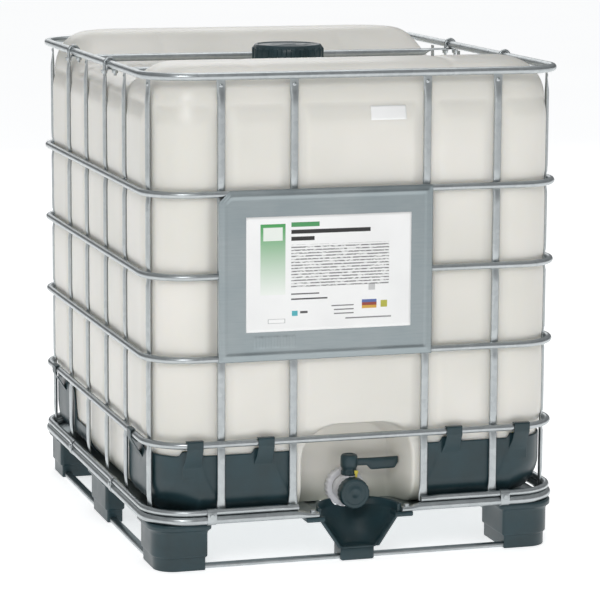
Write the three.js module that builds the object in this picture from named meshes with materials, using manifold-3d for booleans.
// An intermediate bulk container: a blow-moulded bottle in a cage of steel tube, on a steel and
// plastic pallet, with a screwed lid on top and a butterfly valve at the bottom of the front face.
//
// Units are millimetres. +Z is up, the front (valve) side looks along -Y, and the origin is the
// middle of the footprint on the floor.
import * as THREE from 'three';
import { mergeVertices } from 'three/addons/utils/BufferGeometryUtils.js';
import Module from 'manifold-3d';

// ---- driving dimensions ----------------------------------------------------------------------

// the whole container
const WIDTH = 1000; // across the front
const DEPTH = 1200; // front to back
const TOP_HEIGHT = 1154; // crown of the bottle above the floor
const FIT = 0.3; // gap between pieces that touch
const RUNNING = 0.6; // gap between pieces that turn or slide on each other

// the pallet
const FRAME_TUBE = 20; // diameter of the tube round the deck
const FRAME_HEIGHT = 120; // its centre line above the floor
const FRAME_GAP = 100; // half the gap in the frame's front tube, where the tray stands
const CORNER_BEND = 112; // bend radius of the outer face of every ring of tube
const SKID_WIDTH = 20;
const SKID_THICK = 13;
const SKID_LIFT = 1; // the skid hangs this far above the floor inside the feet
const SKID_INSET = 32; // from the pallet's edge to the skid's outer face
const FOOT_INSET = 22; // from the pallet's edge to the foot's outer face
const FOOT_STEP = 5; // the sole is smaller than the leg by this much all round
const FOOT_SOLE = 32; // height of the sole
const FOOT_FLANGE = 14; // thickness of the flange that the frame rests on
const FOOT_FLARE = 9; // how far that flange stands out round the leg
const FOOT_ROUND = 52; // radius of a corner foot's outer corner
const FOOT_EDGE = 8; // radius of the other corners
const CORNER_FOOT_X = 122;
const CORNER_FOOT_Y = 148;
const MIDDLE_FOOT_LENGTH = 160;
const MIDDLE_FOOT_DEEP = 48;
const PAN_SHEET = 2;
const PAN_RIB = 4; // height of the deck's pressed ribs
const PAN_PITCH = 79; // from one rib to the next
const PAN_VALLEY = 10; // half the flat between two ribs
const PAN_SLOPE = 6; // run of a rib's side
const PAN_NOTCH_CLEAR = 10; // room round the valve in the deck's notch

// the cage
const CAGE_INSET = 3.2; // from the pallet's edge to the outer face of the hoops
const RIM_TUBE = 18;
const RIM_HEIGHT = 1120;
const HOOP_TUBE = 16;
const HOOP_HEIGHTS = [858.5, 674, 487.5, 293];
const BASE_HOOP_TUBE = 15;
const BASE_HOOP_MARGIN = 10; // the base hoop ends this far past the two middle front bars
const BAR_WIDTH = 18;
const BAR_THICK = 7;
const BAR_TIP_WIDTH = 25;
const BAR_TIP_THICK = 4;
const BAR_TIP_LENGTH = 22;
const FRONT_BARS = [157, 326]; // from the middle line, on the front and the back
const SIDE_BARS = [100, 295]; // from the middle line, on the sides
const CORNER_BAR_TURN = 12; // degrees round the bend where the outermost side bar stands
const CROSSBAR_PLACE = 193; // front and back of the middle line
const CROSSBAR_TUBE = 18;
const CROSSBAR_HEIGHT = 1102;
const CROSSBAR_TAB = 48; // length of the flattened end
const CROSSBAR_TAB_THICK = 5;
const CROSSBAR_TAB_WIDTH = 26;
const CROSSBAR_TAB_REACH = 8; // past the rim's centre line
const UBOLT_ROD = 7;
const UBOLT_NUT = 13;
const UBOLT_NUT_HIGH = 8;
const UBOLT_THREAD = 5; // length of rod below the nut

// the bottle
const BOTTLE_GAP = 6.7; // from the bars to the bottle, where the corner guards stand between them
const BOTTLE_BULGE = 5.7; // how far the bottle fills out above the lowest hoop
const BOTTLE_BEND = 92; // upright corners
const BOTTLE_SOLE = 62; // radius round the bottom
const BOTTLE_WALL = 3.5;
const SHOULDER_X = 128; // how far the crown falls away towards the sides
const SHOULDER_Y = 176; // and towards the front and the back
const SHOULDER_DROP = 104;
const VALLEY_HEIGHT = 1084;
const VALLEY_HALF = 214;
const FRONT_CREST_DROP = 12; // the front dome is this much lower than the back one
const CREST_PLACE = 375; // crests of the two domes, front and back of the middle line
const NECK_OUTER = 156;
const NECK_WALL = 6;
const NECK_HEIGHT = 46;
const RECESS_WIDTH = 268; // the pocket that the valve stands in
const RECESS_TOP = 322;
const RECESS_DEPTH = 108;
const RECESS_ROUND = 86; // radius of the pocket's upper corners

// the lid
const LID_OUTER = 175;
const LID_HEIGHT = 40;
const LID_LIFT = 20; // from the valley to the lid's lower edge
const LID_WALL = 4;
const LID_TOP = 6;
const LID_RIBS = 24;
const LID_RIB_DEEP = 3;
const LID_RIB_WIDE = 8;
const LID_RIB_DOWN = 2; // from the crown to the top of a rib
const LID_RIM = 16; // width of the raised rim round the lid's dished top
const LID_GASKET = 3;

// the valve
const VALVE_HEIGHT = 150; // its bore above the floor
const BORE = 50;
const OUTLET_OUTER = 64;
const OUTLET_REACH = 24;
const NUT_OUTER = 92;
const NUT_LENGTH = 22;
const CHAMBER_OUTER = 66;
const CHAMBER_LENGTH = 46;
const SPIGOT_OUTER = 60;
const SPIGOT_LENGTH = 20;
const STEM = 12;
const DISC_THICK = 6;
const STEM_BOSS = 34;
const STEM_BOSS_RISE = 2; // above the drum
const COLLAR_OUTER = 38;
const COLLAR_HEIGHT = 20;
const HUB_OUTER = 40;
const HUB_HEIGHT = 28;
const LEVER_LENGTH = 118;
const LEVER_DEPTH = 24;
const LEVER_THICK = 13;
const LEVER_LINE = 0.62; // the handle's upper edge, as a share of the hub's height
const SEAL_PLACE = 11; // to the right of the stem
const SEAL_WIDTH = 9;
const SEAL_DEEP = 3;
const CAP_OUTER = 71;
const CAP_FACE = 4;
const CAP_RIBS = 20;
const CAP_RIB_DEEP = 1.5;
const CAP_RIB_WIDE = 4;
const CAP_GASKET = 3;

// the plates and guards
const PLATE_LEFT = -337;
const PLATE_RIGHT = 166;
const PLATE_SHEET = 1.2;
const PLATE_BEAD = 1.5; // height of the pressed beads
const PLATE_BEAD_WIDTH = 8;
const PLATE_MARGIN = 10; // from the plate's edge to its bead
const PLATE_CORNER = 26; // the cut corner
const LABEL_LEFT = -274;
const LABEL_RIGHT = 114;
const LABEL_BOTTOM = 546;
const LABEL_TOP = 806;
const LABEL_SHEET = 0.4;
const GUARD_WALL = 4;
const GUARD_TOP = 265;
// Each arm of a guard ends this far outside a bar: the inner bar on the front and the back, the
// second bar from the middle on the side, and the first one for a rear guard's low strip.
const GUARD_FRONT_END = 6;
const GUARD_SIDE_END = 0;
const GUARD_TOE_END = 30;
const GUARD_TOE_TOP = 190;
const GUARD_TAB_WIDTH = 38;
const GUARD_TABS_FRONT = [68, 65]; // middle of each tab, outside the inner and the outer front bar
const GUARD_TAB_SIDE = 113; // and outside the second side bar
const GUARD_HOOK_SHEET = 2.6;
const GUARD_HOOK_LIP = 12; // how far the hook reaches back over the hoop
const GUARD_HOOK_ROOT = 5; // thickness of the hook where it leaves the guard
const TRAY_TOP_RADIUS = 98;
const TRAY_FOOT_RADIUS = 42;
const TRAY_WALL = 4;
const TRAY_COLLAR = 20; // the funnel's upright rim above the flanges
const TRAY_NOTCH_CLEAR = 2; // room for the union nut in the collar's notch
const TRAY_NOTCH_ROUND = 8;
const PAN_TRAY_CLEAR = 3; // from the tray's collar to the deck
const TRAY_SETBACK = 14; // from the pallet's edge to the tray's open face
const TRAY_BLOCK = 80;
const TRAY_FLANGE_REACH = 128;
const TRAY_FLANGE_THICK = 11;
const TRAY_FLANGE_DEEP = 44;
const TRAY_LIP = 4; // from the open face to the funnel's axis
const TRAY_FLOOR_DROP = 2; // from the top of a foot's sole to the funnel's lower end

// ---- values worked out from them -------------------------------------------------------------

const FRAME_BOTTOM = FRAME_HEIGHT - FRAME_TUBE / 2;
const FRAME_TOP = FRAME_HEIGHT + FRAME_TUBE / 2;
const FOOT_TOP = FRAME_BOTTOM - FIT;
const PAN_BOTTOM = FRAME_BOTTOM + FIT;
const PAN_TOP = PAN_BOTTOM + PAN_SHEET + PAN_RIB;
const BOTTLE_BOTTOM = PAN_TOP + FIT;
const BASE_HOOP_HEIGHT = FRAME_TOP + FIT + BASE_HOOP_TUBE / 2;
const BAR_INSET = CAGE_INSET + HOOP_TUBE + FIT + BAR_THICK / 2; // edge to the bars' middle
const BAR_BACK = BAR_INSET + BAR_THICK / 2;
const BOTTLE_HALF_X = WIDTH / 2 - BAR_BACK - BOTTLE_GAP;
const BOTTLE_HALF_Y = DEPTH / 2 - BAR_BACK - BOTTLE_GAP;
const RECESS_WALL = -BOTTLE_HALF_Y + RECESS_DEPTH; // Y of the pocket's back wall
const NECK_TOP = VALLEY_HEIGHT + NECK_HEIGHT;
const LID_BOTTOM = VALLEY_HEIGHT + LID_LIFT;
const LID_GASKET_BOTTOM = NECK_TOP + FIT;
const LID_CEILING = LID_GASKET_BOTTOM + LID_GASKET + FIT;
const LID_CROWN = LID_BOTTOM + LID_HEIGHT;
const OUTLET_END = RECESS_WALL - OUTLET_REACH;
const CHAMBER_BACK = OUTLET_END - FIT;
const CHAMBER_FRONT = CHAMBER_BACK - CHAMBER_LENGTH;
const SPIGOT_END = CHAMBER_FRONT - SPIGOT_LENGTH;
const STEM_Y = CHAMBER_BACK - CHAMBER_LENGTH / 2;
const CAP_GASKET_END = SPIGOT_END - FIT - CAP_GASKET;
const CAP_FRONT = CAP_GASKET_END - FIT - CAP_FACE;
const CAP_BACK = CHAMBER_FRONT - RUNNING;
const STEM_BOSS_TOP = VALVE_HEIGHT + CHAMBER_OUTER / 2 + STEM_BOSS_RISE;
const COLLAR_BOTTOM = STEM_BOSS_TOP + RUNNING;
const HUB_BOTTOM = COLLAR_BOTTOM + COLLAR_HEIGHT;
const SKID_HEIGHT = SKID_LIFT + SKID_THICK / 2;
const RAD = Math.PI / 180;
const BEND_STEPS = 4; // flats in each bend of a tube

// ---- finishes --------------------------------------------------------------------------------

const finish = (color, roughness, metalness) =>
  new THREE.MeshStandardMaterial({ color, roughness, metalness });
const POLYETHYLENE = finish(0xe6e2d8, 0.45, 0);
const GALVANISED = finish(0xa9b0b4, 0.42, 0.85);
const PLATE_STEEL = finish(0x8f9aa2, 0.4, 0.85);
const BLACK_PLASTIC = finish(0x2b3236, 0.5, 0);
const VALVE_PLASTIC = finish(0xdcdce4, 0.4, 0);
const PAPER = finish(0xf7f8f6, 0.6, 0);
const RUBBER = finish(0x1d1f21, 0.8, 0);
const SEAL_YELLOW = finish(0xe6d44a, 0.45, 0);

// ---- solids ----------------------------------------------------------------------------------

const wasm = await Module();
wasm.setup();

// A geometry as a solid, with its doubled vertices merged.
function solid(geometry) {
  const bare = geometry.clone();
  for (const name of ['normal', 'uv']) bare.deleteAttribute(name);
  const merged = mergeVertices(bare, 1e-4);
  return new wasm.Manifold(
    new wasm.Mesh({
      numProp: 3,
      vertProperties: new Float32Array(merged.attributes.position.array),
      triVerts: new Uint32Array(merged.index.array),
    }),
  );
}

// A solid as a geometry again.
function geometryOf(made) {
  const mesh = made.getMesh();
  const geometry = new THREE.BufferGeometry();
  geometry.setAttribute('position', new THREE.BufferAttribute(mesh.vertProperties, 3));
  geometry.setIndex(new THREE.BufferAttribute(mesh.triVerts, 1));
  geometry.computeVertexNormals();
  return geometry;
}

const join = (first, ...rest) => rest.reduce((sum, piece) => sum.add(piece), first);
const cut = (first, ...rest) => rest.reduce((left, piece) => left.subtract(piece), first);
const common = (first, ...rest) => rest.reduce((left, piece) => left.intersect(piece), first);

// A box from its lowest and highest corners.
function block(low, high) {
  const size = high.map((value, i) => value - low[i]);
  const middle = high.map((value, i) => (value + low[i]) / 2);
  return solid(new THREE.BoxGeometry(...size).translate(...middle));
}

// A straight rod of two radii between two places on an axis: 'x', 'y' or 'z'.
function rod(axis, radius, from, to, [a, b], sides = 24, endRadius = radius) {
  const geometry = new THREE.CylinderGeometry(endRadius, radius, to - from, sides);
  geometry.translate(0, (from + to) / 2, 0);
  if (axis === 'x') geometry.rotateZ(-Math.PI / 2).translate(0, a, b);
  if (axis === 'y') geometry.translate(a, 0, b);
  if (axis === 'z') geometry.rotateX(Math.PI / 2).translate(a, b, 0);
  return solid(geometry);
}

// A flat outline pulled up from one height to another.
function prism(outline, bottom, top, curveSegments = 8) {
  const options = { depth: top - bottom, bevelEnabled: false, curveSegments };
  return solid(new THREE.ExtrudeGeometry(outline, options).translate(0, 0, bottom));
}

// An outline drawn looking along +Y (x across, z up), pulled from one Y to another.
function prismY(outline, from, to, curveSegments = 8) {
  const options = { depth: to - from, bevelEnabled: false, curveSegments };
  const geometry = new THREE.ExtrudeGeometry(outline, options);
  return solid(geometry.rotateX(Math.PI / 2).translate(0, to, 0));
}

// An outline drawn looking along -X (y across, z up), pulled from one X to another.
function prismX(outline, from, to, curveSegments = 8) {
  const options = { depth: to - from, bevelEnabled: false, curveSegments };
  const geometry = new THREE.ExtrudeGeometry(outline, options);
  geometry.rotateX(Math.PI / 2).rotateZ(Math.PI / 2);
  return solid(geometry.translate(from, 0, 0));
}

// A rectangle with one radius for each corner, from (left, bottom) to (right, top).
function rectangle(left, bottom, right, top, radii) {
  const [a, b, c, d] = Array.isArray(radii) ? radii : [radii, radii, radii, radii];
  const shape = new THREE.Shape();
  shape.moveTo(left + a, bottom);
  shape.lineTo(right - b, bottom);
  if (b) shape.absarc(right - b, bottom + b, b, -Math.PI / 2, 0);
  shape.lineTo(right, top - c);
  if (c) shape.absarc(right - c, top - c, c, 0, Math.PI / 2);
  shape.lineTo(left + d, top);
  if (d) shape.absarc(left + d, top - d, d, Math.PI / 2, Math.PI);
  shape.lineTo(left, bottom + a);
  if (a) shape.absarc(left + a, bottom + a, a, Math.PI, Math.PI * 1.5);
  return shape;
}

// A closed ring of tube round a rectangle with bent corners. A torus gives the surface: its turns
// are shared out between the four corners, and each corner is moved out to its place.
// halfX and halfY reach the tube's outer face, and bend is the radius of that face.
function ring(halfX, halfY, bend, across, high, height, sides = 8, steps = BEND_STEPS) {
  const turns = 4 * (steps + 1);
  const geometry = new THREE.TorusGeometry(1, 0.5, sides, turns);
  const position = geometry.attributes.position;
  const middle = bend - across / 2;
  for (let side = 0; side <= sides; side++) {
    const tilt = (side / sides) * Math.PI * 2;
    const out = middle + (across / 2) * Math.cos(tilt);
    const up = (high / 2) * Math.sin(tilt);
    for (let turn = 0; turn <= turns; turn++) {
      const corner = Math.floor(turn / (steps + 1)) % 4;
      const angle = (corner + (turn % (steps + 1)) / steps) * (Math.PI / 2);
      const signX = corner === 0 || corner === 3 ? 1 : -1;
      const signY = corner < 2 ? 1 : -1;
      position.setXYZ(
        side * (turns + 1) + turn,
        signX * (halfX - bend) + out * Math.cos(angle),
        signY * (halfY - bend) + out * Math.sin(angle),
        height + up,
      );
    }
  }
  return solid(geometry);
}

// ---- the exported group ----------------------------------------------------------------------

const container = new THREE.Group();

function add(name, made, material, placed = new THREE.Matrix4()) {
  const mesh = new THREE.Mesh(made.isBufferGeometry ? made : geometryOf(made), material);
  mesh.name = name;
  mesh.applyMatrix4(placed);
  container.add(mesh);
}

// ---- cage: hoops -----------------------------------------------------------------------------

const cageHoop = (tube, height) =>
  ring(WIDTH / 2 - CAGE_INSET, DEPTH / 2 - CAGE_INSET, CORNER_BEND, tube, tube, height);

add('rim_hoop', cageHoop(RIM_TUBE, RIM_HEIGHT), GALVANISED);
HOOP_HEIGHTS.forEach((height, i) =>
  add(`hoop_${i + 1}`, cageHoop(HOOP_TUBE, height), GALVANISED),
);
// The base hoop is left open between the two middle front bars, round the valve.
const hoopGap = FRONT_BARS[0] - BASE_HOOP_MARGIN;
const baseHoopGap = block([-hoopGap, -DEPTH, 0], [hoopGap, 0, RIM_HEIGHT]);
add('base_hoop', cut(cageHoop(BASE_HOOP_TUBE, BASE_HOOP_HEIGHT), baseHoopGap), GALVANISED);

// ---- cage: upright bars ----------------------------------------------------------------------

// A flattened tube that stands inside the hoops, with a pressed tip under the rim.
function barGeometry() {
  const bottom = FRAME_TOP + FIT;
  const top = RIM_HEIGHT - RIM_TUBE / 2 - FIT;
  const half = BAR_WIDTH / 2;
  const side = BAR_THICK / 2;
  const oval = rectangle(-half, -side, half, side, side * 0.98);
  const tip = block(
    [-BAR_TIP_WIDTH / 2, -BAR_TIP_THICK / 2, top - BAR_TIP_LENGTH],
    [BAR_TIP_WIDTH / 2, BAR_TIP_THICK / 2, top],
  );
  return geometryOf(join(prism(oval, bottom, top, 2), tip));
}

const bar = barGeometry();

function addBar(name, x, y, degrees) {
  const placed = new THREE.Matrix4().makeRotationZ(degrees * RAD).setPosition(x, y, 0);
  add(name, bar, GALVANISED, placed);
}

const barLineX = WIDTH / 2 - BAR_INSET;
const barLineY = DEPTH / 2 - BAR_INSET;
const acrossFront = [-FRONT_BARS[1], -FRONT_BARS[0], FRONT_BARS[0], FRONT_BARS[1]];
acrossFront.forEach((x, i) => {
  addBar(`front_bar_${i + 1}`, x, -barLineY, 0);
  addBar(`rear_bar_${i + 1}`, x, barLineY, 0);
});

// The outermost side bars stand on the bend of the hoops and are turned with it, clear of the
// bend's flats.
const bendFlat = (CORNER_BEND - HOOP_TUBE) * (1 - Math.cos(Math.PI / 4 / BEND_STEPS));
const bendRadius = CORNER_BEND + CAGE_INSET - BAR_INSET - bendFlat;
const bendMiddle = CORNER_BEND + CAGE_INSET; // from the pallet's edge to the middle of the bend
const cornerX = WIDTH / 2 - bendMiddle + bendRadius * Math.cos(CORNER_BAR_TURN * RAD);
const cornerY = DEPTH / 2 - bendMiddle + bendRadius * Math.sin(CORNER_BAR_TURN * RAD);
const alongSide = [-cornerY, -SIDE_BARS[1], -SIDE_BARS[0], SIDE_BARS[0], SIDE_BARS[1], cornerY];
alongSide.forEach((y, i) => {
  const last = Math.abs(y) === cornerY;
  const x = last ? cornerX : barLineX;
  const turn = last ? Math.sign(y) * CORNER_BAR_TURN : 0;
  addBar(`left_bar_${i + 1}`, -x, y, 90 - turn);
  addBar(`right_bar_${i + 1}`, x, y, 90 + turn);
});

// ---- cage: crossbars over the bottle and the bolts that hold them ------------------------------

const rimLineX = WIDTH / 2 - CAGE_INSET - RIM_TUBE / 2;
const rimUnderside = RIM_HEIGHT - RIM_TUBE / 2 - FIT;
const uboltHalf = RIM_TUBE / 2 + FIT + UBOLT_ROD / 2; // from the rim's middle to a leg's middle

// A round tube across the top, its two ends pressed flat and drilled for the bolts.
function crossbar(y) {
  const tubeEnd = rimLineX - CROSSBAR_TAB;
  const tube = rod('x', CROSSBAR_TUBE / 2, -tubeEnd, tubeEnd, [y, CROSSBAR_HEIGHT], 12);
  const half = CROSSBAR_TAB_WIDTH / 2;
  const tabs = [-1, 1].map((side) => {
    const outer = side * (rimLineX + CROSSBAR_TAB_REACH);
    const inner = side * (tubeEnd - CROSSBAR_TUBE);
    const outline = rectangle(
      Math.min(outer, inner), y - half, Math.max(outer, inner), y + half, 3,
    );
    const tab = prism(outline, rimUnderside - CROSSBAR_TAB_THICK, rimUnderside, 2);
    const holes = [-1, 1].map((end) => rod(
      'z', UBOLT_ROD / 2 + RUNNING, rimUnderside - 20, rimUnderside + 5,
      [side * rimLineX + end * uboltHalf, y], 10,
    ));
    return cut(tab, ...holes);
  });
  return join(tube, ...tabs);
}

// A rod bent over the rim, with a nut on each leg under the crossbar's tab.
function ubolt(side, y) {
  const x = side * rimLineX;
  const nutTop = rimUnderside - CROSSBAR_TAB_THICK - FIT;
  const nutBottom = nutTop - UBOLT_NUT_HIGH;
  const legEnd = nutBottom - UBOLT_THREAD;
  const path = new THREE.CurvePath();
  path.add(new THREE.LineCurve3(
    new THREE.Vector3(x - uboltHalf, y, legEnd), new THREE.Vector3(x - uboltHalf, y, RIM_HEIGHT),
  ));
  path.add(new THREE.CatmullRomCurve3(
    [180, 157.5, 135, 112.5, 90, 67.5, 45, 22.5, 0].map((angle) => new THREE.Vector3(
      x + uboltHalf * Math.cos(angle * RAD), y, RIM_HEIGHT + uboltHalf * Math.sin(angle * RAD),
    )),
  ));
  path.add(new THREE.LineCurve3(
    new THREE.Vector3(x + uboltHalf, y, RIM_HEIGHT), new THREE.Vector3(x + uboltHalf, y, legEnd),
  ));
  const section = new THREE.Shape().absarc(0, 0, UBOLT_ROD / 2, 0, Math.PI * 2);
  const options = { steps: 10, extrudePath: path, curveSegments: 3 };
  const bent = solid(new THREE.ExtrudeGeometry(section, options));
  const nuts = [-1, 1].map((end) =>
    rod('z', UBOLT_NUT / 2, nutBottom, nutTop, [x + end * uboltHalf, y], 6),
  );
  return join(bent, ...nuts);
}

[['front', -CROSSBAR_PLACE], ['rear', CROSSBAR_PLACE]].forEach(([place, y]) => {
  add(`${place}_crossbar`, crossbar(y), GALVANISED);
  add(`${place}_left_ubolt`, ubolt(-1, y), GALVANISED);
  add(`${place}_right_ubolt`, ubolt(1, y), GALVANISED);
});

// ---- bottle ----------------------------------------------------------------------------------

// The outside of the bottle grown by an amount (shrunk where it is negative): three outlines,
// seen from above, from the front and from the side, each pulled through the others. The bulge
// widens its walls and leaves its top and bottom where they are.
function bottleForm(grown, bulge = 0) {
  const halfX = BOTTLE_HALF_X + bulge + grown;
  const halfY = BOTTLE_HALF_Y + bulge + grown;
  const bottom = BOTTLE_BOTTOM - grown;
  const crown = TOP_HEIGHT + grown;
  const valley = VALLEY_HEIGHT + grown;
  const sole = BOTTLE_SOLE + grown;
  const bend = BOTTLE_BEND + bulge + grown;
  const plan = rectangle(-halfX, -halfY, halfX, halfY, bend);

  const front = new THREE.Shape();
  front.moveTo(-halfX + sole, bottom);
  front.lineTo(halfX - sole, bottom);
  front.absarc(halfX - sole, bottom + sole, sole, -Math.PI / 2, 0);
  front.lineTo(halfX, crown - SHOULDER_DROP);
  front.absellipse(
    halfX - SHOULDER_X, crown - SHOULDER_DROP, SHOULDER_X, SHOULDER_DROP, 0, Math.PI / 2,
  );
  front.lineTo(-halfX + SHOULDER_X, crown);
  front.absellipse(
    -halfX + SHOULDER_X, crown - SHOULDER_DROP, SHOULDER_X, SHOULDER_DROP, Math.PI / 2, Math.PI,
  );
  front.lineTo(-halfX, bottom + sole);
  front.absarc(-halfX + sole, bottom + sole, sole, Math.PI, Math.PI * 1.5);

  const side = new THREE.Shape();
  side.moveTo(-halfY + sole, bottom);
  side.lineTo(halfY - sole, bottom);
  side.absarc(halfY - sole, bottom + sole, sole, -Math.PI / 2, 0);
  side.lineTo(halfY, crown - SHOULDER_DROP);
  const frontCrown = crown - FRONT_CREST_DROP;
  const slope = (CREST_PLACE - VALLEY_HALF) * 0.5;
  side.bezierCurveTo(
    halfY, crown - SHOULDER_DROP * 0.4, CREST_PLACE + SHOULDER_Y * 0.55, crown, CREST_PLACE, crown,
  );
  side.bezierCurveTo(
    CREST_PLACE - slope, crown, VALLEY_HALF + slope, valley, VALLEY_HALF, valley,
  );
  side.lineTo(-VALLEY_HALF, valley);
  side.bezierCurveTo(
    -VALLEY_HALF - slope, valley, -CREST_PLACE + slope, frontCrown, -CREST_PLACE, frontCrown,
  );
  side.bezierCurveTo(
    -CREST_PLACE - SHOULDER_Y * 0.55, frontCrown, -halfY, crown - SHOULDER_DROP * 0.4,
    -halfY, crown - SHOULDER_DROP,
  );
  side.lineTo(-halfY, bottom + sole);
  side.absarc(-halfY + sole, bottom + sole, sole, Math.PI, Math.PI * 1.5);

  const far = Math.max(WIDTH, DEPTH);
  return common(
    prism(plan, bottom - 1, crown + 1, 6),
    prismY(front, -far, far, 6),
    prismX(side, -far, far, 6),
  );
}

// The bottle with its walls filled out above the lowest hoop, grown by an amount.
function filledForm(grown) {
  const from = HOOP_HEIGHTS[3] - grown;
  const above = block([-WIDTH, -DEPTH, from], [WIDTH, DEPTH, TOP_HEIGHT * 2]);
  return join(bottleForm(grown), common(bottleForm(grown, BOTTLE_BULGE), above));
}

// The pocket that the valve stands in, grown by an amount, with a rounded top.
function recess(grown) {
  const half = RECESS_WIDTH / 2 + grown;
  const radii = [0, 0, RECESS_ROUND, RECESS_ROUND];
  const outline = rectangle(-half, 0, half, RECESS_TOP + grown, radii);
  return prismY(outline, -DEPTH, RECESS_WALL + grown, 6);
}

function bottle() {
  const neckRadius = NECK_OUTER / 2;
  const body = join(
    cut(filledForm(0), recess(0)),
    rod('z', neckRadius, VALLEY_HEIGHT - 20, NECK_TOP, [0, 0], 36),
    rod('y', OUTLET_OUTER / 2, OUTLET_END, RECESS_WALL + 20, [0, VALVE_HEIGHT], 24),
  );
  const hollow = join(
    cut(filledForm(-BOTTLE_WALL), recess(BOTTLE_WALL)),
    rod('z', neckRadius - NECK_WALL, VALLEY_HEIGHT - 40, NECK_TOP + 5, [0, 0], 36),
    rod('y', BORE / 2, OUTLET_END - 5, RECESS_WALL + 20, [0, VALVE_HEIGHT], 24),
  );
  return cut(body, hollow);
}

add('inner_bottle', bottle(), POLYETHYLENE);

// ---- lid -------------------------------------------------------------------------------------

const ribs = (count, make) => Array.from({ length: count }, (_, i) => make((i / count) * 360));

function lid() {
  const outer = LID_OUTER / 2;
  const drumRadius = outer - LID_RIB_DEEP;
  const drum = rod('z', drumRadius, LID_BOTTOM, LID_CROWN, [0, 0], 48);
  const hollow = rod('z', drumRadius - LID_WALL, LID_BOTTOM - 1, LID_CEILING, [0, 0], 48);
  const rib = block(
    [drumRadius - 1.5, -LID_RIB_WIDE / 2, LID_BOTTOM],
    [outer, LID_RIB_WIDE / 2, LID_CROWN - LID_RIB_DOWN],
  );
  const grips = ribs(LID_RIBS, (degrees) => rib.rotate([0, 0, degrees]));
  const dish = rod('z', outer - LID_RIM, LID_CEILING + LID_TOP, LID_CROWN + 1, [0, 0], 48);
  return cut(join(drum, ...grips), hollow, dish);
}

function washer(axis, outer, inner, from, to, centre, sides) {
  return cut(
    rod(axis, outer, from, to, centre, sides),
    rod(axis, inner, from - 1, to + 1, centre, sides),
  );
}

add('lid', lid(), BLACK_PLASTIC);
add(
  'lid_gasket',
  washer(
    'z', NECK_OUTER / 2 - RUNNING, NECK_OUTER / 2 - NECK_WALL,
    LID_GASKET_BOTTOM, LID_GASKET_BOTTOM + LID_GASKET, [0, 0], 36,
  ),
  RUBBER,
);

// ---- valve -----------------------------------------------------------------------------------

const bore = [0, VALVE_HEIGHT];
const stemAxis = [0, STEM_Y];

// The ring that clamps the valve to the bottle's outlet.
add(
  'union_nut',
  cut(
    rod('y', NUT_OUTER / 2, RECESS_WALL - FIT - NUT_LENGTH, RECESS_WALL - FIT, bore, 12),
    rod('y', OUTLET_OUTER / 2 + RUNNING, RECESS_WALL - 80, RECESS_WALL + 5, bore, 24),
  ),
  VALVE_PLASTIC,
);

add(
  'outlet_gasket',
  washer('y', BORE / 2 + 5, BORE / 2 + 0.5, CHAMBER_BACK - 3.2, CHAMBER_BACK - 0.2, bore, 24),
  RUBBER,
);

// The body: a drum round the disc, a spigot for the cap, and an upright boss for the stem.
function valveBody() {
  const drum = rod('y', CHAMBER_OUTER / 2, CHAMBER_FRONT, CHAMBER_BACK, bore, 24);
  const spigot = rod('y', SPIGOT_OUTER / 2, SPIGOT_END, CHAMBER_FRONT + 2, bore, 24);
  const boss = rod('z', STEM_BOSS / 2, VALVE_HEIGHT, STEM_BOSS_TOP, stemAxis, 20);
  const way = rod('y', BORE / 2, SPIGOT_END - 1, CHAMBER_BACK + 1, bore, 24);
  const seat = rod('y', BORE / 2 + 5 + FIT, CHAMBER_BACK - 3.4, CHAMBER_BACK + 1, bore, 24);
  const stemHole = rod(
    'z', STEM / 2 + RUNNING, VALVE_HEIGHT - BORE / 2 - 6, STEM_BOSS_TOP + 1, stemAxis, 16,
  );
  return cut(join(drum, spigot, boss), way, seat, stemHole);
}

add('valve_body', valveBody(), VALVE_PLASTIC);

// The disc that shuts the bore, in one piece with the stem that turns it.
function valveDisc() {
  const disc = rod(
    'y', BORE / 2 - RUNNING, STEM_Y - DISC_THICK / 2, STEM_Y + DISC_THICK / 2, bore, 24,
  );
  const stem = rod(
    'z', STEM / 2, VALVE_HEIGHT - BORE / 2 - 5, HUB_BOTTOM + HUB_HEIGHT * 0.5, stemAxis, 16,
  );
  return join(disc, stem);
}

add('valve_disc', valveDisc(), VALVE_PLASTIC);

// The lever: a hub and a stop collar on the stem, and a handle that reaches to the right.
function lever() {
  const collar = rod(
    'z', COLLAR_OUTER / 2, COLLAR_BOTTOM, HUB_BOTTOM + 2, [0, STEM_Y], 20,
  );
  const hub = rod('z', HUB_OUTER / 2, HUB_BOTTOM, HUB_BOTTOM + HUB_HEIGHT, [0, STEM_Y], 20);
  const top = HUB_BOTTOM + HUB_HEIGHT * LEVER_LINE;
  const handle = rectangle(0, top - LEVER_DEPTH, LEVER_LENGTH, top, [0, 8, 10, 0]);
  const arm = prismY(handle, STEM_Y - LEVER_THICK / 2, STEM_Y + LEVER_THICK / 2, 4);
  const socket = rod(
    'z', STEM / 2 + FIT, COLLAR_BOTTOM - 1, HUB_BOTTOM + HUB_HEIGHT * 0.5 + FIT, stemAxis, 16,
  );
  return cut(join(collar, hub, arm), socket);
}

add('lever', lever(), BLACK_PLASTIC);

// The tag seal in front of the collar. It stands on the body, under the lever's swing.
const sealBack = STEM_Y - COLLAR_OUTER / 2 - RUNNING;
const leverUnderside = HUB_BOTTOM + HUB_HEIGHT * LEVER_LINE - LEVER_DEPTH;
add(
  'tamper_seal',
  block(
    [SEAL_PLACE - SEAL_WIDTH / 2, sealBack - SEAL_DEEP, VALVE_HEIGHT + CHAMBER_OUTER / 2 + FIT],
    [SEAL_PLACE + SEAL_WIDTH / 2, sealBack, leverUnderside - RUNNING],
  ),
  SEAL_YELLOW,
);

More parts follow.
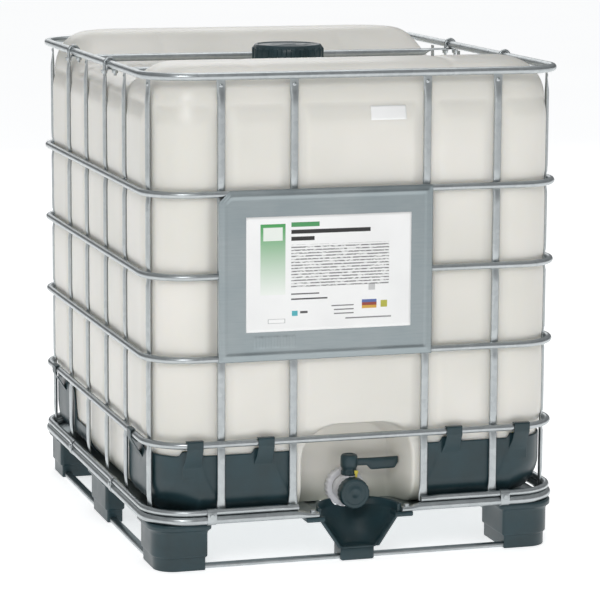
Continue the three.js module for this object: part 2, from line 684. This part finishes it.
// The cap that closes the spigot, open at the back.
function dustCap() {
  const outer = CAP_OUTER / 2;
  const drumRadius = outer - CAP_RIB_DEEP;
  const drum = rod('y', drumRadius, CAP_FRONT, CAP_BACK, bore, 40);
  const inside = rod(
    'y', SPIGOT_OUTER / 2 + RUNNING, CAP_FRONT + CAP_FACE, CAP_BACK + 1, bore, 40,
  );
  const rib = block(
    [drumRadius - 1, CAP_FRONT + CAP_FACE, -CAP_RIB_WIDE / 2], [outer, CAP_BACK, CAP_RIB_WIDE / 2],
  );
  const grips = ribs(CAP_RIBS, (degrees) =>
    rib.rotate([0, degrees, 0]).translate([0, 0, VALVE_HEIGHT]),
  );
  return cut(join(drum, ...grips), inside);
}

add('dust_cap', dustCap(), BLACK_PLASTIC);
add(
  'cap_gasket',
  washer(
    'y', SPIGOT_OUTER / 2 - 1, BORE / 2, CAP_GASKET_END, CAP_GASKET_END + CAP_GASKET, bore, 24,
  ),
  RUBBER,
);

// ---- name plate and label ----------------------------------------------------------------------

// A sheet over the front of three hoops, its border pressed out as a bead.
const plateBack = -(DEPTH / 2 - CAGE_INSET) - FIT;
const plateFront = plateBack - PLATE_SHEET;
const plateBottom = HOOP_HEIGHTS[2] - HOOP_TUBE / 2;
const plateTop = HOOP_HEIGHTS[0] + HOOP_TUBE / 2;

function plateOutline(inset) {
  const shape = new THREE.Shape();
  const left = PLATE_LEFT + inset;
  const right = PLATE_RIGHT - inset;
  const bottom = plateBottom + inset;
  const top = plateTop - inset;
  const corner = PLATE_CORNER - inset * 0.4;
  shape.moveTo(left, bottom);
  shape.lineTo(right, bottom);
  shape.lineTo(right, top);
  shape.lineTo(left + corner, top);
  shape.lineTo(left, top - corner);
  return shape;
}

function labelPlate() {
  const sheet = prismY(plateOutline(0), plateFront, plateBack);
  const proud = plateFront - PLATE_BEAD;
  const bead = cut(
    prismY(plateOutline(PLATE_MARGIN), proud, plateFront + 0.5),
    prismY(plateOutline(PLATE_MARGIN + PLATE_BEAD_WIDTH), proud - 1, plateFront + 1),
  );
  return join(sheet, bead);
}

add('label_plate', labelPlate(), PLATE_STEEL);
add(
  'label_sheet',
  block(
    [LABEL_LEFT, plateFront - FIT - LABEL_SHEET, LABEL_BOTTOM],
    [LABEL_RIGHT, plateFront - FIT, LABEL_TOP],
  ),
  PAPER,
);

// ---- corner guards -----------------------------------------------------------------------------

// The outline of a hook, for a face that stands sign * edge from the middle of the container. It
// leaves the guard under the lowest hoop, passes in front of the hoop and closes over it.
function hookOutline(sign, edge) {
  const root = edge - BAR_BACK - (BOTTLE_GAP - GUARD_WALL) / 2;
  const back = edge - CAGE_INSET + FIT;
  const front = back + GUARD_HOOK_SHEET;
  const low = HOOP_HEIGHTS[3] - HOOP_TUBE / 2 - FIT;
  const high = HOOP_HEIGHTS[3] + HOOP_TUBE / 2 + FIT;
  const shape = new THREE.Shape();
  shape.moveTo(sign * (root - BOTTLE_BEND / 4), GUARD_TOP - GUARD_HOOK_ROOT);
  shape.lineTo(sign * root, GUARD_TOP - GUARD_HOOK_ROOT);
  shape.lineTo(sign * front, low - GUARD_HOOK_SHEET);
  shape.lineTo(sign * front, high + GUARD_HOOK_SHEET);
  shape.lineTo(sign * (back - GUARD_HOOK_LIP), high + GUARD_HOOK_SHEET);
  shape.lineTo(sign * (back - GUARD_HOOK_LIP), high);
  shape.lineTo(sign * back, high);
  shape.lineTo(sign * back, low);
  shape.lineTo(sign * root, GUARD_TOP);
  shape.lineTo(sign * (root - BOTTLE_BEND / 4), GUARD_TOP);
  return shape;
}

const GUARD_SIDE_LINE = SIDE_BARS[1] + GUARD_SIDE_END;
const GUARD_TOE_LINE = SIDE_BARS[0] + GUARD_TOE_END;

// A shell that follows the bottle's lower corner, with hooks that hold it to the lowest hoop.
// lowEnd is where its low strip along the side ends.
function guard(signX, signY, lowEnd) {
  const gap = (BOTTLE_GAP - GUARD_WALL) / 2;
  const edgeX = WIDTH / 2;
  const edgeY = DEPTH / 2;
  const frontEnd = FRONT_BARS[0] + GUARD_FRONT_END;
  const span = (sign, from, to) => [sign * from, sign * to].sort((a, b) => a - b);
  const strip = (x, y, top) => block([x[0], y[0], BOTTLE_BOTTOM + GUARD_WALL], [x[1], y[1], top]);
  const faceX = span(signX, edgeX - CORNER_BEND, edgeX);
  const faceY = span(signY, edgeY - CORNER_BEND, edgeY);
  const region = join(
    strip(span(signX, frontEnd, edgeX), faceY, GUARD_TOP),
    strip(faceX, span(signY, GUARD_SIDE_LINE, edgeY), GUARD_TOP),
    strip(faceX, span(signY, lowEnd, edgeY), GUARD_TOE_TOP),
  );
  const shell = common(bottleForm(gap + GUARD_WALL), region);
  const tab = (sign, at) => span(sign, at - GUARD_TAB_WIDTH / 2, at + GUARD_TAB_WIDTH / 2);
  const hooks = [
    ...GUARD_TABS_FRONT.map((beyond, i) =>
      prismX(hookOutline(signY, edgeY), ...tab(signX, FRONT_BARS[i] + beyond)),
    ),
    prismY(hookOutline(signX, edgeX), ...tab(signY, SIDE_BARS[1] + GUARD_TAB_SIDE)),
  ];
  return cut(join(shell, ...hooks), bottleForm(gap));
}

add('front_left_guard', guard(-1, -1, GUARD_SIDE_LINE), BLACK_PLASTIC);
add('front_right_guard', guard(1, -1, GUARD_SIDE_LINE), BLACK_PLASTIC);
add('rear_left_guard', guard(-1, 1, GUARD_TOE_LINE), BLACK_PLASTIC);
add('rear_right_guard', guard(1, 1, GUARD_TOE_LINE), BLACK_PLASTIC);

// ---- pallet ------------------------------------------------------------------------------------

// One tube bent round the deck. Its two ends rest on the tray's flanges, either side of the valve.
function palletFrame() {
  const tube = ring(WIDTH / 2, DEPTH / 2, CORNER_BEND, FRAME_TUBE, FRAME_TUBE, FRAME_HEIGHT, 10, 5);
  return cut(tube, block([-FRAME_GAP, -DEPTH, 0], [FRAME_GAP, 0, FRAME_TOP + FRAME_TUBE]));
}

add('pallet_frame', palletFrame(), GALVANISED);

const skidRing = (clearance) =>
  ring(
    WIDTH / 2 - SKID_INSET + clearance,
    DEPTH / 2 - SKID_INSET + clearance,
    CORNER_BEND - SKID_INSET + clearance,
    SKID_WIDTH + clearance * 2,
    SKID_THICK + clearance * 2,
    SKID_HEIGHT,
    6,
    4,
  );

add('skid_ring', skidRing(0), GALVANISED);

// The groove that the skid lies in, open to the floor.
const skidGroove = join(skidRing(RUNNING), skidRing(RUNNING).translate([0, 0, -SKID_THICK / 2]));

// A foot from three outlines: the sole, the leg and the flange under the frame.
function foot(left, front, right, back, radii) {
  const inset = (by) => rectangle(left + by, front + by, right - by, back - by, radii);
  return cut(
    join(
      prism(inset(FOOT_STEP), 0, FOOT_SOLE, 2),
      prism(inset(0), FOOT_SOLE - 0.5, FOOT_TOP - FOOT_FLANGE + 0.5, 2),
      prism(inset(-FOOT_FLARE), FOOT_TOP - FOOT_FLANGE, FOOT_TOP, 2),
    ),
    skidGroove,
  );
}

const footX = WIDTH / 2 - FOOT_INSET;
const footY = DEPTH / 2 - FOOT_INSET;
const cornerFoot = (signX, signY) => {
  const outerX = signX * footX;
  const outerY = signY * footY;
  const innerX = outerX - signX * CORNER_FOOT_X;
  const innerY = outerY - signY * CORNER_FOOT_Y;
  const corners = [[-1, -1], [1, -1], [1, 1], [-1, 1]]; // in the order of a rectangle's radii
  const radii = corners.map(([x, y]) => (x === signX && y === signY ? FOOT_ROUND : FOOT_EDGE));
  return foot(
    Math.min(outerX, innerX), Math.min(outerY, innerY),
    Math.max(outerX, innerX), Math.max(outerY, innerY), radii,
  );
};
add('front_left_foot', cornerFoot(-1, -1), BLACK_PLASTIC);
add('front_right_foot', cornerFoot(1, -1), BLACK_PLASTIC);
add('rear_right_foot', cornerFoot(1, 1), BLACK_PLASTIC);
add('rear_left_foot', cornerFoot(-1, 1), BLACK_PLASTIC);

const halfFoot = MIDDLE_FOOT_LENGTH / 2;
const innerFootX = footX - MIDDLE_FOOT_DEEP;
add('left_foot', foot(-footX, -halfFoot, -innerFootX, halfFoot, FOOT_EDGE), BLACK_PLASTIC);
add('right_foot', foot(innerFootX, -halfFoot, footX, halfFoot, FOOT_EDGE), BLACK_PLASTIC);
add(
  'rear_foot',
  foot(-halfFoot, footY - MIDDLE_FOOT_DEEP, halfFoot, footY, FOOT_EDGE),
  BLACK_PLASTIC,
);

// The front foot is a half funnel that stands round the valve and catches its drips. Its upright
// collar is notched for the union nut. Two flanges carry the ends of the frame's tube, and its
// foot grips the skid.
function valveTray() {
  const open = -DEPTH / 2 + TRAY_SETBACK;
  const axis = open + TRAY_LIP;
  const low = FOOT_SOLE - TRAY_FLOOR_DROP;
  const funnel = rod(
    'z', TRAY_FOOT_RADIUS, low, FOOT_TOP, [0, axis], 32, TRAY_TOP_RADIUS,
  );
  const hollow = rod(
    'z', TRAY_FOOT_RADIUS - TRAY_WALL, low + TRAY_WALL, FOOT_TOP + 1, [0, axis], 32,
    TRAY_TOP_RADIUS - TRAY_WALL,
  );
  const rim = FOOT_TOP + TRAY_COLLAR;
  const collar = rod('z', TRAY_TOP_RADIUS, FOOT_TOP - 0.5, rim, [0, axis], 32);
  const within = rod(
    'z', TRAY_TOP_RADIUS - TRAY_WALL, FOOT_TOP - 1, rim + 1, [0, axis], 32,
  );
  const notchHalf = NUT_OUTER / 2 + TRAY_NOTCH_CLEAR;
  const notchRadii = [TRAY_NOTCH_ROUND, TRAY_NOTCH_ROUND, 0, 0];
  const notchLow = VALVE_HEIGHT - notchHalf;
  const notch = prismY(
    rectangle(-notchHalf, notchLow, notchHalf, rim + 1, notchRadii), axis + TRAY_FOOT_RADIUS, 0,
  );
  const behind = block([-DEPTH, open, -1], [DEPTH, DEPTH, rim + 5]);
  const skidFront = -DEPTH / 2 + SKID_INSET;
  const halfGrip = TRAY_BLOCK / 2;
  const grip = prism(
    rectangle(-halfGrip, skidFront - 8, halfGrip, skidFront + SKID_WIDTH + 10, 4),
    0, low + TRAY_WALL, 2,
  );
  const flanges = [-1, 1].map((side) => {
    const near = side * (TRAY_TOP_RADIUS - 12);
    const far = side * TRAY_FLANGE_REACH;
    const front = open - FOOT_FLARE - 1;
    return prism(
      rectangle(Math.min(near, far), front, Math.max(near, far), front + TRAY_FLANGE_DEEP, 4),
      FOOT_TOP - TRAY_FLANGE_THICK, FOOT_TOP, 2,
    );
  });
  const bowl = common(join(funnel, collar), behind);
  return cut(join(bowl, grip, ...flanges), hollow, within, notch, skidGroove);
}

add('valve_tray', valveTray(), BLACK_PLASTIC);

// The deck: a sheet pressed into shallow ribs, notched under the valve.
function floorPan() {
  const halfX = WIDTH / 2 - FRAME_TUBE - FIT * 2;
  const halfY = DEPTH / 2 - FRAME_TUBE - FIT * 2;
  const count = Math.floor((halfX * 2) / PAN_PITCH);
  const start = (-count * PAN_PITCH) / 2;
  const upper = [];
  for (let i = 0; i < count; i++) {
    const x = start + i * PAN_PITCH;
    const end = x + PAN_PITCH - PAN_VALLEY;
    upper.push([x + PAN_VALLEY, 0], [x + PAN_VALLEY + PAN_SLOPE, PAN_RIB]);
    upper.push([end - PAN_SLOPE, PAN_RIB], [end, 0]);
  }
  const points = [[-halfX, 0], ...upper, [halfX, 0]];
  const shape = new THREE.Shape();
  shape.moveTo(-halfX, PAN_BOTTOM);
  points.slice(1).forEach(([x, z]) => shape.lineTo(x, PAN_BOTTOM + z));
  [...points].reverse().forEach(([x, z]) => shape.lineTo(x, PAN_BOTTOM + z + PAN_SHEET));
  const sheet = prismY(shape, -halfY, halfY);
  const plan = prism(
    rectangle(-halfX, -halfY, halfX, halfY, CORNER_BEND - FRAME_TUBE), 0, BOTTLE_BOTTOM + 50, 6,
  );
  const notchHalf = NUT_OUTER / 2 + PAN_NOTCH_CLEAR;
  const notch = block(
    [-notchHalf, -DEPTH, 0], [notchHalf, RECESS_WALL + PAN_NOTCH_CLEAR, BOTTLE_BOTTOM + 50],
  );
  const trayAxis = -DEPTH / 2 + TRAY_SETBACK + TRAY_LIP;
  const roundTray = rod(
    'z', TRAY_TOP_RADIUS + PAN_TRAY_CLEAR, 0, BOTTLE_BOTTOM + 50, [0, trayAxis], 32,
  );
  return cut(common(sheet, plan), notch, roundTray);
}

add('floor_pan', floorPan(), GALVANISED);

export default container;
